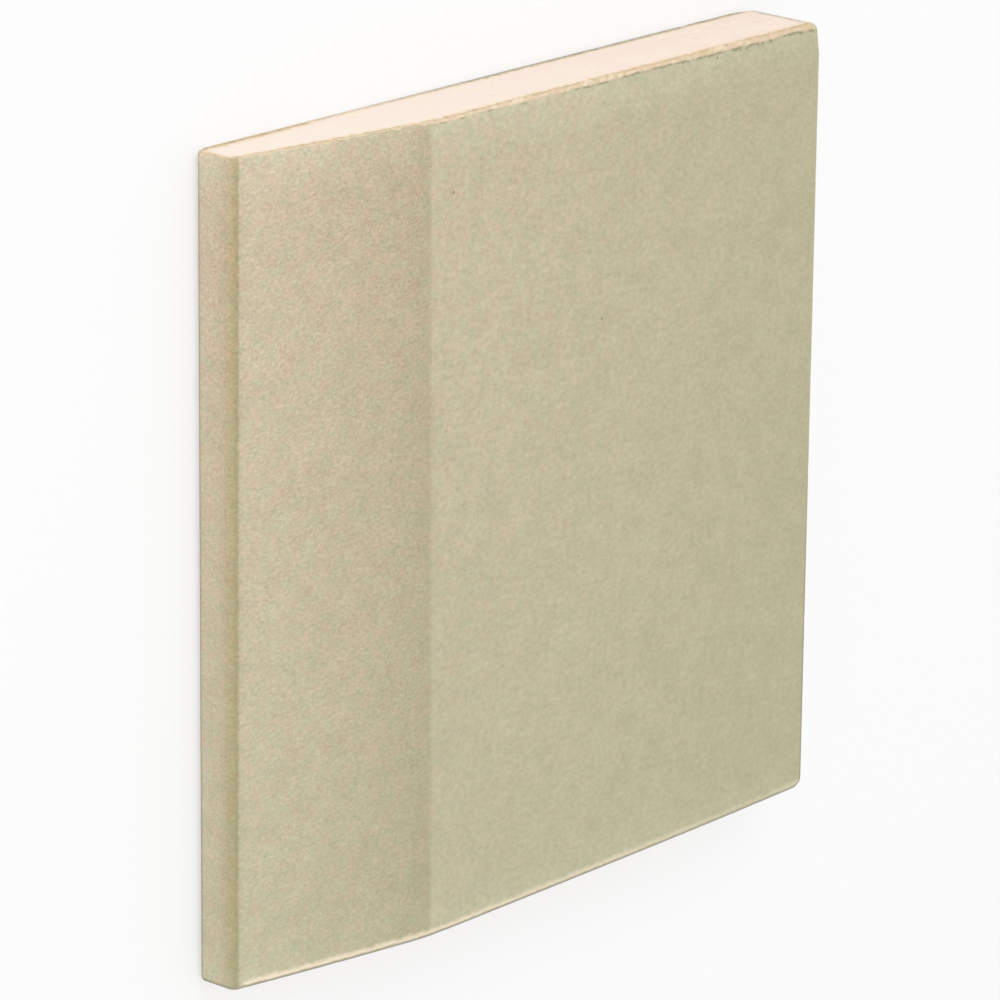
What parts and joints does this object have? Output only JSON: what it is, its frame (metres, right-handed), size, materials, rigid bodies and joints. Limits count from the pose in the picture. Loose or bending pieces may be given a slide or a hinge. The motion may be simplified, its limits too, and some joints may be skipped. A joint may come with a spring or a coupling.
{
  "type": "drywall sheet",
  "caption": "Square cut piece of gypsum board with a tapered factory edge: a cast gypsum core between a wrapped face paper and a back paper, for lining walls and ceilings.",
  "frame": {"origin": "middle of the back, on the surface that the board lies on", "axes": "+X across the board from the factory edge to the cut side, +Y along the factory edge, +Z through the thickness from the back to the face"},
  "size_m": [0.1524, 0.1524, 0.0159],
  "materials": {
    "gypsum": "matte",
    "face_paper": "matte",
    "back_paper": "matte"
  },
  "bodies": {
    "root": {"gypsum_core": "gypsum", "face_paper": "face_paper", "back_paper": "back_paper"}
  },
  "joints": []
}
